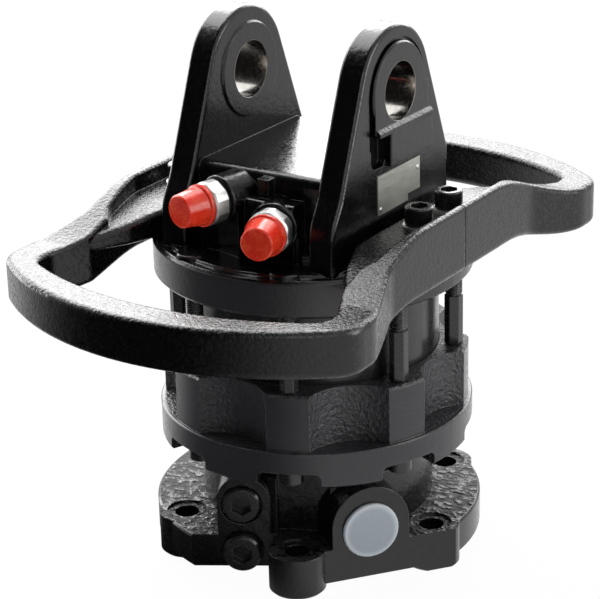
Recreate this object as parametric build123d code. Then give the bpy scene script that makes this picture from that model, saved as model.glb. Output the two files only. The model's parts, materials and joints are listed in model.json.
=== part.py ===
import math
import os

from build123d import *

# Overall heights, mm, from the rest plane under the bolt pads
flange_bottom = 6.0
flange_top = 37.0
neck_top = 93.0
housing_bottom = 101.0
rim_top = 133.0
housing_top = 184.0
stator_bottom = 181.0
disc_bottom = 255.0
disc_top = 288.0
saddle_top = 361.0
pin_height = 422.0

# Head: clevis ears, saddle and disc
disc_radius = 140.5
pin_radius = 25.0
clevis_gap = 120.0
boss_outer = 90.0
far_boss_extra = 4.0
boss_radius = 42.0
boss_groove = 3.0
ear_inner = 62.0
ear_outer = 87.0
ear_round = 56.0
ear_centre_y = -1.5
ear_lean = 21.5
ear_waist = 352.0
ear_flare = 316.0
ear_edge = 4.0
ear_foot_front = 104.0
shelf_outer = 94.0
shelf_top = 397.0
pocket_floor = 80.0
saddle_front = 80.0
saddle_back = 79.0

# Oil ports on the front of the head
port_spread = 15.0
port_high = 337.0
port_low = 321.5
port_boss_radius = 21.5
port_boss_start = 74.0
port_web_front = 97.0
port_web_top = 341.0
port_face = 106.0
port_thread = 13.0
hex_across = 36.0
hex_start = 108.5
hex_end = 121.5
stem_radius = 14.0
stem_end = 134.0
cap_start = 123.5
cap_end = 148.0
cap_wall = 1.6
cap_fit = 0.35

# Guard
guard_arm_x = 152.0
guard_side_x = 173.0
guard_front_y = 277.0
guard_front_radius = 258.0
guard_corner = 30.0
guard_bar = 30.0
guard_arm_top = 331.0
guard_arm_bottom = 273.0
guard_bar_top = 298.0
guard_bar_bottom = 258.0
guard_tab_top = 315.0
guard_foot_x = 95.0
guard_deep_x = 126.0
guard_hole_front = 243.0
guard_seam = 1.0
guard_round = 6.0
guard_wall_round = 3.6
guard_wall_sink = 1.0
guard_screw_x = 122.0
guard_screw_y = 25.0
disc_gap = 1.0

# Motor body
stator_radius = 110.0
rim_radius = 140.0
lobe_radius = 136.5
scallop_floor = 116.0
scallop_radius = 45.0
lobe_count = 8
bolt_circle = 124.0
notch_depth = 13.0
notch_width = 56.0
cam_mean = 80.0
cam_swing = 4.0
cam_waves = 4
core_radius = 74.0
vane_count = 8
vane_width = 6.0
vane_root = 58.0
slide_fit = 0.03
running_fit = 0.05
end_gap = 0.3

# Shaft, bearing and oil spindle
shaft_spigot = 50.0
shaft_seal_radius = 56.0
shaft_core_radius = 44.0
core_seat = 182.0
shaft_journal = 38.0
shaft_top = 276.0
shaft_bore = 22.0
bearing_seat = 52.0
bearing_bottom = 122.0
bearing_top = 148.0
race_wall = 9.0
roller_radius = 5.5
roller_count = 24
bearing_outer = 84.0
spindle_head = 32.0
spindle_bottom = 70.0

# Lower flange
flange_radius = 147.5
flange_bolt_circle = 127.0
flange_holes = 6
flange_hole_radius = 11.0
flange_first_hole = -6.0
pad_radius = 25.0
spot_radius = 18.0
neck_radius = 104.0
plug_face_turn = -60.0
plug_face = 100.0
port_face_turn = -38.5
big_port_face = 127.0
plug_offset = -62.5
plug_upper_z = 65.5
plug_lower_z = 22.0
big_port_offset = 3.7
big_port_z = 51.2
port_boss_offset = 4.5
port_boss_z = 55.5
port_boss_round = 35.3
big_port_radius = 23.0
shaft_screw_seat = 18.0

centre_low = (Align.CENTER, Align.CENTER, Align.MIN)


def post(radius, low, high, x=0.0, y=0.0):
    return Pos(x, y, low) * Cylinder(radius, high - low, align=centre_low)


def tube(outer, inner, low, high):
    return post(outer, low, high) - post(inner, low - 1, high + 1)


def block(x0, x1, y0, y1, z0, z1):
    size = Box(x1 - x0, y1 - y0, z1 - z0, align=(Align.MIN, Align.MIN, Align.MIN))
    return Pos(x0, y0, z0) * size


def radial(turn, side, height, start):
    """Placement with +Z pointing outward at the given turn, moved sideways and up."""
    return Rot(0, 0, turn) * Pos(start, side, height) * Rot(0, 90, 0)


def rod(turn, side, height, radius, start, end):
    return radial(turn, side, height, start) * Cylinder(radius, end - start, align=centre_low)


def turned(points):
    outline = Polyline(*[(x, 0, z) for x, z in points], close=True)
    return revolve(make_face(outline), Axis.Z)


def on_circle(count, radius, first=0.0):
    step = 360 / count
    return [Rot(0, 0, first + step * i) * Pos(radius, 0, 0) for i in range(count)]


def hex_prism(across, length):
    return extrude(RegularPolygon(across / 2, 6, major_radius=False), length)


def socket_screw(thread, head, head_height, key, length):
    """Head stands on z = 0 and the shank hangs below."""
    cap = Cylinder(head / 2, head_height, align=centre_low)
    cap = chamfer(cap.edges().group_by(Axis.Z)[-1], 1.0)
    cap -= Pos(0, 0, head_height * 0.45) * hex_prism(key, head_height)
    shank = Pos(0, 0, -length) * Cylinder(thread / 2, length, align=centre_low)
    shank = chamfer(shank.edges().group_by(Axis.Z)[0], 1.2)
    return cap + shank


def union(shapes):
    result = shapes[0]
    for shape in shapes[1:]:
        result = result + shape
    return result


def bolt_places():
    return on_circle(lobe_count, bolt_circle, 180 / lobe_count)


def guard_screw_places():
    return [Pos(sx * guard_screw_x, sy * guard_screw_y, 0) for sx in (-1, 1) for sy in (-1, 1)]


def ear_face():
    """Side outline of one ear in the YZ plane, front to the left."""
    lean = math.radians(ear_lean)
    reach = ear_round * math.cos(lean)
    rise = pin_height + ear_round * math.sin(lean)
    spread = (rise - ear_waist) * math.tan(lean)
    front = ear_centre_y - reach
    back = ear_centre_y + reach
    knee = (front - spread, ear_waist)
    heel = (back + spread, ear_waist)
    toe = (-ear_foot_front, ear_flare)
    edges = [
        ThreePointArc((front, rise), (ear_centre_y, pin_height + ear_round), (back, rise)),
        Line((back, rise), heel),
        Line(heel, (heel[0], disc_top)),
        Line((heel[0], disc_top), (-ear_foot_front, disc_top)),
        Line((-ear_foot_front, disc_top), toe),
        Spline(toe, knee, tangents=((0, 1), (math.sin(lean), math.cos(lean)))),
        Line(knee, (front, rise)),
    ]
    return make_face(Curve() + edges)


def ear_plate():
    """Plate of one ear with its outline edges rounded on both faces."""
    plate = extrude(Plane.YZ.offset(ear_inner) * ear_face(), ear_outer - ear_inner)
    rims = []
    for edge in plate.edges():
        box = edge.bounding_box()
        if box.max.X - box.min.X < 0.01 and box.max.Z > disc_top + 1:
            rims.append(edge)
    return fillet(rims, ear_edge)


def across(radius, x0, x1):
    """Round bar along X at the height of the pin."""
    length = x1 - x0
    return Pos(x0, 0, pin_height) * Rot(0, 90, 0) * Cylinder(radius, length, align=centre_low)


def ear_pocket():
    """Deep pocket in front of the raised block, under the shelf."""
    left = -boss_radius - boss_groove + 2
    cut = block(pocket_floor, ear_outer + 1, left, -21, 363, shelf_top - 2)
    edges = cut.edges().filter_by(Axis.X).group_by(Axis.Z)[0]
    return fillet(edges, 6.0)


def shelf():
    """Shelf under the boss and the raised block that hangs from it."""
    bar = block(ear_outer - 4, shelf_outer, -boss_radius + 3, 48, 391, shelf_top)
    bar = chamfer(bar.edges().filter_by(Axis.Y).group_by(Axis.Z)[-1].sort_by(Axis.X)[-1], 3.0)
    pad = block(ear_outer - 4, shelf_outer - 0.5, -21, 48, 362, 393)
    pad = chamfer(pad.edges().group_by(Axis.X)[-1], 1.0)
    return bar + pad


def ear(side):
    inner_step = clevis_gap / 2
    outer_step = boss_outer if side > 0 else boss_outer + far_boss_extra
    boss = across(boss_radius, inner_step, outer_step)
    boss = chamfer(boss.edges().filter_by(GeomType.CIRCLE), 1.5)
    ring = across(boss_radius + boss_groove, ear_outer - 3, ear_outer + 20)
    ring -= across(boss_radius, ear_outer - 4, ear_outer + 21)
    side_groove = block(ear_outer - 3, ear_outer + 1, -boss_radius - boss_groove, -30, 380, pin_height)
    cheek = block(ear_outer - 4, outer_step, -boss_radius + 2, 46, shelf_top - 4, pin_height)
    body = ear_plate() - ring - side_groove - ear_pocket() + boss + cheek + shelf()
    body -= across(pin_radius, inner_step - 1, outer_step + 1)
    return body if side > 0 else mirror(body, Plane.YZ)


def saddle():
    """Bridge between the ears, dished along its top."""
    half = ear_inner + 1
    body = block(-half, half, -saddle_front, saddle_back, disc_top - 1, saddle_top)
    long_edges = body.edges().filter_by(Axis.X).group_by(Axis.Z)[-1]
    body = fillet(long_edges, 8.0)
    rib = block(4, 15, -saddle_front - 9, -saddle_front + 2, disc_top, saddle_top - 4)
    return body + rib


def port_block():
    """Cast block that carries the two port bosses, its top sunk between them."""
    body = block(-44, 44, -port_web_front, -saddle_front + 24, disc_top - 1, port_web_top)
    body = fillet(body.edges().filter_by(Axis.X).group_by(Axis.Z)[-1], 3.0)
    for turn, height in port_axes():
        boss = rod(turn, 0, height, port_boss_radius, port_boss_start, port_face)
        rim = boss.edges().filter_by(GeomType.CIRCLE).sort_by(Axis.Y)[0]
        half = port_boss_radius - 1
        foot = Rot(0, 0, turn) * block(
            port_boss_start, port_face - 4, -half, half, disc_top - 1, height
        )
        body = body + fillet(rim, 2.0) + foot
    return body


def port_axes():
    return [(-90 - port_spread, port_high), (-90 + port_spread, port_low)]


def head_disc():
    edge = 3.0
    step = 2.0
    outline = [
        (0, disc_bottom),
        (disc_radius - edge, disc_bottom),
        (disc_radius, disc_bottom + edge),
        (disc_radius, disc_top - edge),
        (disc_radius - edge, disc_top),
        (disc_radius - 9, disc_top),
        (disc_radius - 11, disc_top + step),
        (96, disc_top + step),
        (96, disc_top + 6),
        (0, disc_top + 6),
    ]
    body = turned(outline)
    for place in bolt_places():
        pad = place * post(14, disc_top - 1, disc_top + 4)
        body = body + chamfer(pad.edges().group_by(Axis.Z)[-1], 1.2)
    flat = block(92, 150, -130, 130, disc_top, disc_top + 9)
    return body - flat - mirror(flat, Plane.YZ)


def head_casting():
    body = head_disc() + saddle() + port_block() + ear(1) + ear(-1)
    for turn, height in port_axes():
        body -= rod(turn, 0, height, port_thread + running_fit, 70, port_face + 8)
        body -= rod(turn, 0, height, 5.0, 28, 75)
    body -= post(shaft_journal + 6, disc_bottom - 1, shaft_top + 4)
    body -= post(spindle_head, shaft_top, 346)
    for place in bolt_places():
        body -= place * post(7 + slide_fit, disc_bottom - 1, 282)
    for place in guard_screw_places():
        body -= place * post(8 + slide_fit, disc_bottom + 6, disc_top + 9)
    for turn in (0, 180):
        body -= Rot(0, 0, turn) * post(4 + slide_fit, disc_bottom - 1, 264, 101, 0)
    groove = tube(94, 90, disc_bottom - 1, disc_bottom + 3.2)
    return body - groove


def port_adapter(turn, height):
    """Hexagon adapter with a threaded root and an outer stem for the hose nut."""
    place = radial(turn, 0, height, hex_start)
    nut = hex_prism(hex_across, hex_end - hex_start)
    cone = extrude(Circle(hex_across / 2 + 0.9), hex_end - hex_start)
    cone = chamfer(cone.edges().group_by(Axis.Z)[-1], 1.6)
    root = Pos(0, 0, -20) * Cylinder(port_thread, 21, align=centre_low)
    stem = Cylinder(stem_radius, stem_end - hex_start, align=centre_low)
    stem = chamfer(stem.edges().group_by(Axis.Z)[-1], 1.5)
    bore = Pos(0, 0, -21) * Cylinder(7, stem_end, align=centre_low)
    return place * ((nut & cone) + root + stem - bore)


def port_washer(turn, height):
    ring = Cylinder(hex_across / 2 - 0.5, hex_start - port_face, align=centre_low)
    hole = Cylinder(port_thread + 0.3, 10, align=Align.CENTER)
    return radial(turn, 0, height, port_face) * (ring - hole)


def port_cap(turn, height):
    """Tapered push-on cap with a rolled rim, open toward the adapter."""
    rim = cap_start
    inner = stem_radius + cap_fit
    outline = [
        (inner, rim),
        (inner + cap_wall + 2.2, rim),
        (inner + cap_wall + 2.2, rim + 2.6),
        (inner + cap_wall + 0.6, rim + 3.6),
        (inner - 0.2, cap_end - 1.4),
        (inner - 1.4, cap_end),
        (0, cap_end),
        (0, stem_end + end_gap),
        (inner - 0.4, stem_end + end_gap),
    ]
    return radial(turn, 0, height, 0) * turned(outline)


def nameplate():
    plate = block(ear_outer, ear_outer + 1, -34.5, 35, 321.7, 356.2)
    notch = block(ear_outer - 1, ear_outer + 6, 14.7, 40, 320, 327.6)
    plate = plate - notch
    for y, z in rivet_places():
        plate -= Pos(ear_outer - 1, y, z) * Rot(0, 90, 0) * Cylinder(1.25, 12, align=centre_low)
    return plate


def rivet_places():
    return [(-30.5, 326), (31, 347)]


def nameplate_rivets():
    rivets = []
    for y, z in rivet_places():
        place = Pos(ear_outer + 1, y, z) * Rot(0, 90, 0)
        dome = Sphere(3.2) & Cylinder(2.4, 8, align=Align.CENTER)
        dome = Pos(0, 0, -2.0) * dome & Cylinder(3, 4, align=centre_low)
        shank = Pos(0, 0, -1) * Cylinder(1.2, 1.5, align=centre_low)
        rivets.append(place * (dome + shank))
    return union(rivets)


def s_curve(y0, z0, y1, z1):
    third = (y1 - y0) / 3
    return Bezier((y0, z0), (y0 + third, z0), (y1 - third, z1), (y1, z1))


def guard_side_face(seam_top, bar_top):
    """Side outline of one half in the YZ plane, from the height at the seam to the bar."""
    y_seam = -guard_seam / 2
    y_end = -guard_front_y - 5
    top = s_curve(-60, seam_top, -190, bar_top)
    low = s_curve(-82, guard_arm_bottom, -176, guard_bar_bottom)
    edges = [
        Line((y_seam, seam_top), (-60, seam_top)),
        top,
        Line((-190, bar_top), (y_end, bar_top)),
        Line((y_end, bar_top), (y_end, guard_bar_bottom)),
        Line((y_end, guard_bar_bottom), (-176, guard_bar_bottom)),
        low,
        Line((-82, guard_arm_bottom), (y_seam, guard_arm_bottom)),
        Line((y_seam, guard_arm_bottom), (y_seam, seam_top)),
    ]
    return make_face(Curve() + edges)


def guard_plan(inset, seam_y):
    """Closed plan outline of one D-shaped half, shrunk inward by the inset."""
    arm = guard_arm_x - inset
    side = guard_side_x - inset
    front = guard_front_radius - inset
    centre_y = guard_front_radius - guard_front_y
    drop = math.sqrt(front ** 2 - side ** 2)
    corner_y = centre_y - drop
    outline = [
        Line((-arm, seam_y), (arm, seam_y)),
        Line((arm, seam_y), (arm, -122)),
        Line((arm, -122), (side, -180)),
        Line((side, -180), (side, corner_y)),
        ThreePointArc((side, corner_y), (0, centre_y - front), (-side, corner_y)),
        Line((-side, corner_y), (-side, -180)),
        Line((-side, -180), (-arm, -122)),
        Line((-arm, -122), (-arm, seam_y)),
    ]
    face = make_face(Curve() + outline)
    soft = [v for v in face.vertices() if -185 < v.Y < -100]
    face = fillet(soft, 40.0)
    tight = [v for v in face.vertices() if abs(v.Y - corner_y) < 0.01]
    return fillet(tight, guard_corner - inset * 0.45)


def guard_hole():
    """Plan outline of the opening between the arms and the front bar."""
    side = guard_side_x - guard_bar - 2
    right = [(guard_deep_x, 5), (guard_deep_x, -152), (side, -186), (side, -206)]
    left = [(-x, y) for x, y in reversed(right)]
    outline = [
        Polyline(*right),
        ThreePointArc(right[-1], (0, -guard_hole_front), left[0]),
        Polyline(*left),
        Line(left[-1], right[0]),
    ]
    face = make_face(Curve() + outline)
    soft = [v for v in face.vertices() if v.Y < -80]
    return fillet(soft, 16.0)


def guard_foot():
    """Gusset that bolts on the disc and runs out along the inside of one arm."""
    y0 = -guard_seam / 2
    inner = [(guard_foot_x, y0), (guard_foot_x, -85), (108, -120), (guard_deep_x, -152)]
    outline = Polyline(*inner, (guard_deep_x + 4, -161), (148, -161), (148, y0), close=True)
    face = make_face(outline)
    face = fillet([v for v in face.vertices() if v.X < 110 and v.Y < -80], 16.0)
    foot = extrude(Plane.XY.offset(disc_top) * face, 60)
    foot &= extrude(Plane.YZ.offset(-200) * guard_side_face(guard_tab_top, guard_bar_top), 400)
    lip = [e for e in foot.edges() if runs_along(e) and e.center().X < guard_deep_x]
    foot = fillet([e for e in lip if e.center().Z < disc_top + 0.01], guard_round)
    lip = [e for e in foot.edges() if runs_along(e) and e.center().X < guard_deep_x]
    return fillet([e for e in lip if e.center().Z > disc_top + 12], guard_round)


def guard_well():
    """Space above the foot, inside the thin upper wall."""
    y0 = 1.0
    outline = Polyline(
        (70, y0), (70, -110), (112, -150), (134, -114), (143, -66), (144, y0), close=True,
    )
    face = make_face(outline)
    face = fillet([v for v in face.vertices() if abs(v.X - 134) < 1], 20.0)
    return extrude(Plane.XY.offset(guard_bar_bottom - 10) * face, 120)


def guard_body(seam_top, bar_top, low):
    """Plan of one half cut to the side outline, down to the given height."""
    base = Plane.XY.offset(low)
    height = guard_arm_top - low + 10
    ring = extrude(base * guard_plan(0, -guard_seam / 2), height)
    ring -= extrude(base * guard_hole(), height)
    return ring & extrude(Plane.YZ.offset(-200) * guard_side_face(seam_top, bar_top), 400)


def guard_wall():
    """Thin wall that stands on the outer edge of both arms and sinks into the bar."""
    sunk = guard_bar_top - guard_wall_sink
    wall = guard_body(guard_arm_top, sunk, guard_arm_bottom + 10)
    wall = wall - guard_well() - mirror(guard_well(), Plane.YZ)
    crest = [e for e in wall.edges() if runs_along(e) and e.center().Z > sunk + 0.01]
    wall = fillet(crest, guard_wall_round)
    return wall & block(-200, 200, -188, 0, 250, 350)


def guard_half():
    body = guard_body(guard_tab_top, guard_bar_top, guard_bar_bottom - 5)
    body = fillet([e for e in body.edges() if runs_along(e)], guard_round)
    body = body + guard_foot() + mirror(guard_foot(), Plane.YZ) + guard_wall()
    body = body - post(disc_radius + disc_gap, 200, disc_top)
    for place in guard_screw_places():
        body -= place * post(8.75, 200, 400)
    return body


def runs_along(edge):
    """True for edges that follow the arms and the bar, not the seam or the cross lines."""
    box = edge.bounding_box()
    deep = box.max.Y - box.min.Y
    wide = box.max.X - box.min.X
    upright = deep < 0.01 and wide < 0.01
    across = edge.geom_type == GeomType.LINE and deep < 0.5
    return not (upright or across)


def guard_rear_half():
    return mirror(guard_half(), Plane.XZ)


def guard_screws():
    screw = socket_screw(16, 24, 16, 14, 48)
    return union([p * Pos(0, 0, guard_tab_top + 3) * screw for p in guard_screw_places()])


def guard_washers():
    ring = Cylinder(14, 3, align=centre_low) - Cylinder(8.5, 9)
    return union([p * Pos(0, 0, guard_tab_top) * ring for p in guard_screw_places()])


def cam_outline(mean, swing):
    count = cam_waves * 10
    points = []
    for i in range(count):
        a = 2 * math.pi * i / count
        r = mean + swing * math.cos(cam_waves * a)
        points.append((r * math.cos(a), r * math.sin(a)))
    return make_face(Spline(*points, periodic=True))


def stator_ring():
    outer = post(stator_radius, stator_bottom, disc_bottom)
    outer = chamfer(outer.edges().group_by(Axis.Z)[0], 2.5)
    cam = extrude(Plane.XY.offset(stator_bottom - 1) * cam_outline(cam_mean, cam_swing), 90)
    body = outer - cam
    for turn in (0, 180):
        body -= Rot(0, 0, turn) * post(4 + slide_fit, stator_bottom - 1, stator_bottom + 10, 101, 0)
        body -= Rot(0, 0, turn) * post(4 + slide_fit, disc_bottom - 9, disc_bottom + 1, 101, 0)
    return body


def scallop_cutter():
    centre = scallop_floor + scallop_radius
    cutters = []
    for place in on_circle(lobe_count, centre):
        cutters.append(place * post(scallop_radius, rim_top, housing_top + 5))
    return union(cutters)


def rim_notches():
    """Rounded gaps in the bottom rim where the bolt heads sit."""
    low = housing_bottom - 1
    cutters = []
    for place in bolt_places():
        slot = Box(44, notch_width, notch_depth + 1, align=centre_low)
        slot = fillet(slot.edges().filter_by(Axis.X).group_by(Axis.Z)[-1], 6.0)
        cutters.append(place * Pos(8, 0, low) * slot)
    return union(cutters)


def lower_housing():
    chamfer_size = 2.0
    outline = [
        (shaft_seal_radius + 4, housing_bottom),
        (rim_radius - chamfer_size, housing_bottom),
        (rim_radius, housing_bottom + chamfer_size),
        (rim_radius, rim_top - 1),
        (rim_radius - 1, rim_top),
        (lobe_radius, rim_top),
        (lobe_radius, housing_top - 2),
        (lobe_radius - 2, housing_top),
        (stator_radius + 0.6, housing_top),
        (stator_radius + 0.6, stator_bottom),
        (60, stator_bottom),
        (60, 168),
        (bearing_outer - 8, 160),
        (bearing_outer, 160),
        (bearing_outer, bearing_bottom),
        (70, bearing_bottom),
        (70, 104),
        (shaft_seal_radius + 4, 104),
    ]
    body = turned(outline) - scallop_cutter() - rim_notches()
    for place in bolt_places():
        body -= place * post(7.5, housing_bottom - 1, housing_top + 1)
    for turn in (0, 180):
        body -= Rot(0, 0, turn) * post(4 + slide_fit, stator_bottom - 9, stator_bottom + 1, 101, 0)
    body -= tube(bearing_outer + 2.5, bearing_outer - 1, bearing_top + 0.2, bearing_top + 3.2)
    return body - tube(94, 90, stator_bottom - 3.2, stator_bottom + 1)


def assembly_bolts():
    seat = housing_bottom + notch_depth
    length = 280 - seat
    screw = socket_screw(14, 21, 14, 12, length)
    relief = tube(7.4, 6.2, -(231 - seat), -(229 - seat))
    screw = Rot(180, 0, 0) * (screw - relief)
    return union([place * Pos(0, 0, seat) * screw for place in bolt_places()])


def stator_dowels():
    pins = []
    for turn in (0, 180):
        pins.append(Rot(0, 0, turn) * post(4, stator_bottom - 8, stator_bottom + 9, 101, 0))
        pins.append(Rot(0, 0, turn) * post(4, disc_bottom - 8, disc_bottom + 8, 101, 0))
    return union(pins)


def seal_ring(mean, section, height):
    return Pos(0, 0, height) * Torus(mean, section)


def rotor_shaft():
    outline = [
        (shaft_bore, 26),
        (shaft_spigot, 26),
        (shaft_spigot, neck_top),
        (64, neck_top),
        (64, 99),
        (shaft_seal_radius, 99),
        (shaft_seal_radius, 120),
        (bearing_seat + 6, 120),
        (bearing_seat + 6, bearing_bottom),
        (bearing_seat, bearing_bottom),
        (bearing_seat, 162),
        (48, 164),
        (48, core_seat),
        (shaft_core_radius, core_seat),
        (shaft_core_radius, 254),
        (shaft_journal, 256),
        (shaft_journal, shaft_top - 1),
        (shaft_journal - 1, shaft_top),
        (shaft_bore, shaft_top),
    ]
    body = turned(outline)
    for turn in (0, 180):
        body -= Rot(0, 0, turn) * block(shaft_core_radius - 5, 60, -6, 6, 190, 246)
    for place in on_circle(8, 38, 22.5):
        body -= place * post(6 + slide_fit, 20, 52)
    return body


def rotor_core():
    low = core_seat
    high = disc_bottom - end_gap
    body = tube(core_radius, shaft_core_radius + slide_fit, low, high)
    for place in on_circle(vane_count, 0):
        slot = block(vane_root - 4, core_radius + 5, -vane_width / 2 - slide_fit,
                     vane_width / 2 + slide_fit, low - 1, high + 1)
        body -= place * slot
    for turn in (0, 180):
        body -= Rot(0, 0, turn) * block(30, shaft_core_radius + 5, -6, 6, 180, 246)
    return body


def vanes():
    """Blades held at the cam's small radius so that they clear it all round."""
    tip = cam_mean - cam_swing - running_fit
    low = core_seat
    high = disc_bottom - end_gap
    blade = block(vane_root, tip - 2, -vane_width / 2, vane_width / 2, low, high)
    nose = Pos(tip - 3, 0, low) * Cylinder(vane_width / 2, high - low, align=centre_low)
    return union([place * (blade + nose) for place in on_circle(vane_count, 0)])


def vane_springs():
    """Bowed leaf springs between each slot floor and its blade."""
    low = housing_top + 6
    high = disc_bottom - 6
    middle = (low + high) / 2
    bow = ThreePointArc((vane_root - 4, low), (vane_root, middle), (vane_root - 4, high))
    inner = ThreePointArc((vane_root - 4, low + 3), (vane_root - 0.8, middle), (vane_root - 4, high - 3))
    ends = [Line(bow @ 0, inner @ 0), Line(bow @ 1, inner @ 1)]
    face = make_face(Curve() + [bow, inner] + ends)
    strip = extrude(Plane.XZ * face, 2.5, both=True)
    return union([place * strip for place in on_circle(vane_count, 0)])


def core_keys():
    low = 191.0
    high = 245.0
    keys = []
    for turn in (0, 180):
        keys.append(Rot(0, 0, turn) * block(shaft_core_radius - 5, shaft_core_radius + 4.8, -6, 6, low, high))
    return union(keys)


def roller_circle():
    return bearing_seat + race_wall + roller_radius


def bearing_inner_race():
    mid = bearing_seat + race_wall
    return turned([
        (bearing_seat, bearing_bottom),
        (mid + 3, bearing_bottom),
        (mid + 3, bearing_bottom + 2.5),
        (mid, bearing_bottom + 2.5),
        (mid, bearing_top - 2.5),
        (mid + 3, bearing_top - 2.5),
        (mid + 3, bearing_top),
        (bearing_seat, bearing_top),
    ])


def bearing_outer_race():
    inner = roller_circle() + roller_radius + end_gap
    return tube(bearing_outer, inner, bearing_bottom, bearing_top)


def bearing_rollers():
    low = bearing_bottom + 2.5
    high = bearing_top - 2.5
    roller = post(roller_radius, low, high)
    return union([place * roller for place in on_circle(roller_count, roller_circle())])


def bearing_cage():
    """Ring with a pocket for each roller, closed above and below by thin rims."""
    ring = tube(roller_circle() + 2, roller_circle() - 2, bearing_bottom + 0.6, bearing_top - 0.6)
    for place in on_circle(roller_count, roller_circle()):
        ring -= place * post(roller_radius + 0.02, bearing_bottom + 2.4, bearing_top - 2.4)
    return ring


def bearing_nut():
    body = tube(60, bearing_seat + slide_fit, bearing_top, 158)
    for place in on_circle(4, 60):
        body -= place * Box(8, 6, 40)
    return body


def snap_ring():
    ring = tube(bearing_outer + 2.2, bearing_outer - 5, bearing_top + 0.3, bearing_top + 3.0)
    return ring - block(60, 95, -6, 6, 140, 160)


def shaft_seal():
    low = 105.0
    high = 117.0
    case = tube(70, 67, low, high) + tube(70, shaft_seal_radius + 6, low, low + 2.5)
    lip = turned([
        (shaft_seal_radius + 7, low),
        (shaft_seal_radius + 7, low + 2.5),
        (shaft_seal_radius + 2, high - 4),
        (shaft_seal_radius + running_fit, high - 3),
        (shaft_seal_radius + running_fit, high - 5),
        (shaft_seal_radius + 1.5, low),
    ])
    return case + lip


def upper_bush():
    return tube(shaft_journal + 6, shaft_journal + running_fit, disc_bottom + 4, shaft_top - 2)


def oil_spindle():
    body = post(shaft_bore - running_fit, spindle_bottom, shaft_top + 3)
    body += post(spindle_head - slide_fit, shaft_top + 2, 345)
    for step in range(4):
        low = 96 + step * 34
        body -= tube(shaft_bore + 1, shaft_bore - 2.4, low, low + 3.6)
    for turn, height in port_axes():
        body -= rod(turn, 0, height, 5.0, 8, 40)
        body -= Rot(0, 0, turn) * post(4, spindle_bottom - 1, height, 9, 0)
    return body


def spindle_rings():
    rings = []
    for step in range(4):
        low = 96 + step * 34
        rings.append(tube(shaft_bore - running_fit, shaft_bore - 2.4, low + 0.1, low + 3.5))
    return union(rings)


def flange_spots():
    return on_circle(flange_holes, flange_bolt_circle, flange_first_hole)


def plug_place(height, start):
    return radial(plug_face_turn, plug_offset, height, start)


def flange_plate():
    """Round mounting plate trimmed by two flats, with a round pad under each hole."""
    plate = post(flange_radius, flange_bottom, flange_top)
    plate = chamfer(plate.edges().filter_by(GeomType.CIRCLE), 2.0)
    plate -= Rot(0, 0, plug_face_turn) * block(plug_face, 200, -200, 200, -5, 60)
    corner = Rot(0, 0, port_face_turn) * block(60, big_port_face, -38, 79, flange_bottom, flange_top)
    plate += corner & post(flange_radius, 0, flange_top)
    plate += Rot(0, 0, -66) * block(80, flange_bolt_circle, -22, 22, flange_bottom, flange_top)
    for place in flange_spots():
        pad = place * post(pad_radius, 0, flange_top)
        plate += chamfer(pad.edges().group_by(Axis.Z)[0], 2.0)
    return plate - Rot(0, 0, port_face_turn) * block(big_port_face, 200, -36, 200, -5, 60)


def port_bosses():
    """Neck with the twin plug block and the large round-topped port boss."""
    neck = post(neck_radius, flange_top - 1, neck_top)
    neck = chamfer(neck.edges().group_by(Axis.Z)[-1], 3.0)
    twin = Rot(0, 0, plug_face_turn) * block(40, plug_face, -84, -38, flange_bottom, 70)
    cap = rod(plug_face_turn, -61, 70, 23, 40, plug_face)
    large = rod(port_face_turn, port_boss_offset, port_boss_z, port_boss_round, 40, big_port_face)
    web_low = port_boss_offset - port_boss_round
    web_high = port_boss_offset + port_boss_round
    web = Rot(0, 0, port_face_turn) * block(40, big_port_face, web_low, web_high, flange_bottom, port_boss_z)
    recess = Rot(0, 0, -66) * block(92, 160, -21, 26, flange_top, neck_top + 2)
    return neck + twin + cap - recess + large + web


def rotor_flange():
    body = flange_plate() + port_bosses()
    for place in flange_spots():
        spot = flange_top - 2
        body -= place * post(spot_radius, spot, spot + 26)
        body -= place * post(flange_hole_radius, -1, flange_top + 20)
    body -= post(shaft_spigot + slide_fit, 26, neck_top + 1)
    for place in on_circle(8, 38, 22.5):
        body -= place * post(6.6, -1, 30)
        body -= place * post(10, -1, shaft_screw_seat)
    for height in (plug_upper_z, plug_lower_z):
        body -= plug_place(height, 72) * Cylinder(10 + slide_fit, 60, align=centre_low)
    body -= plug_place(plug_upper_z, plug_face - 9) * Cylinder(18.5, 40, align=centre_low)
    body -= plug_place(plug_lower_z, plug_face - 2) * Cylinder(18.5, 40, align=centre_low)
    port = radial(port_face_turn, big_port_offset, big_port_z, 66)
    body -= port * Cylinder(big_port_radius - 3, 80, align=centre_low)
    mouth = radial(port_face_turn, big_port_offset, big_port_z, big_port_face - 14)
    return body - mouth * Cylinder(big_port_radius, 40, align=centre_low)


def service_plug():
    """Round-headed plug with a hexagon socket, seat on z = 0."""
    head = Cylinder(17, 10, align=centre_low)
    head = chamfer(head.edges().group_by(Axis.Z)[-1], 2.0)
    head -= Pos(0, 0, 2) * hex_prism(17, 20)
    stem = Pos(0, 0, -18) * Cylinder(10, 19, align=centre_low)
    return head + stem


def service_plugs():
    upper = plug_place(plug_upper_z, plug_face - 7.5) * service_plug()
    lower = plug_place(plug_lower_z, plug_face - 0.5) * service_plug()
    return upper + lower


def plug_washers():
    ring = Cylinder(16, 1.5, align=centre_low) - Cylinder(10.3, 9)
    upper = plug_place(plug_upper_z, plug_face - 9) * ring
    lower = plug_place(plug_lower_z, plug_face - 2) * ring
    return upper + lower


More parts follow.
